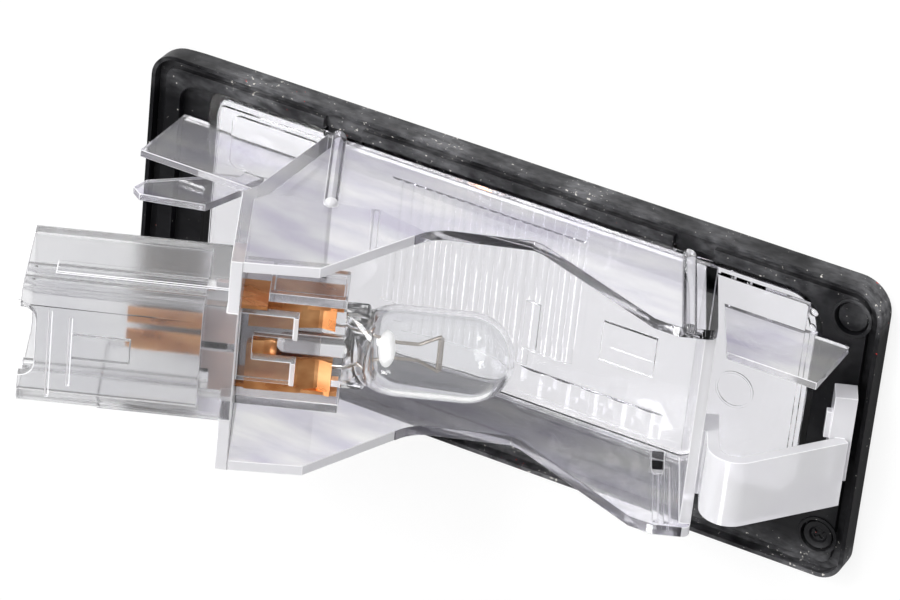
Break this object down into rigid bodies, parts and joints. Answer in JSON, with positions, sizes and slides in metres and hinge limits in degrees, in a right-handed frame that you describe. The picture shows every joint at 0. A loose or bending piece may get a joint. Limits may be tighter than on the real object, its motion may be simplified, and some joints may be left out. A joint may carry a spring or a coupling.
{
  "type": "number plate lamp",
  "caption": "Car number plate lamp: black flange with a clear fluted lens, a tilted clear housing with socket, plug shroud and spring clip, copper contacts and a wedge bulb.",
  "frame": {"origin": "middle of the flange's flat front face", "axes": "+X along the flange towards the spring clip, +Y across the flange towards the side with the locating ribs, +Z backwards from the lens into the lamp"},
  "size_m": [0.088, 0.0364, 0.0415],
  "materials": {
    "black_plastic": "dusty satin black",
    "clear_plastic": "clear, glossy",
    "frosted_plastic": "clear to slightly frosted",
    "copper": "bare copper sheet",
    "bulb_glass": "clear glass",
    "bead_glass": "white glass bead",
    "lead_wire": "bare wire",
    "filament": "tungsten coil"
  },
  "bodies": {
    "root": {"frame": "black_plastic", "lens": "clear_plastic", "housing": "frosted_plastic", "contact_upper": "copper", "contact_lower": "copper", "bulb_envelope": "bulb_glass", "bulb_bead": "bead_glass", "bulb_wire_upper": "lead_wire", "bulb_wire_lower": "lead_wire", "bulb_filament": "filament"}
  },
  "joints": []
}
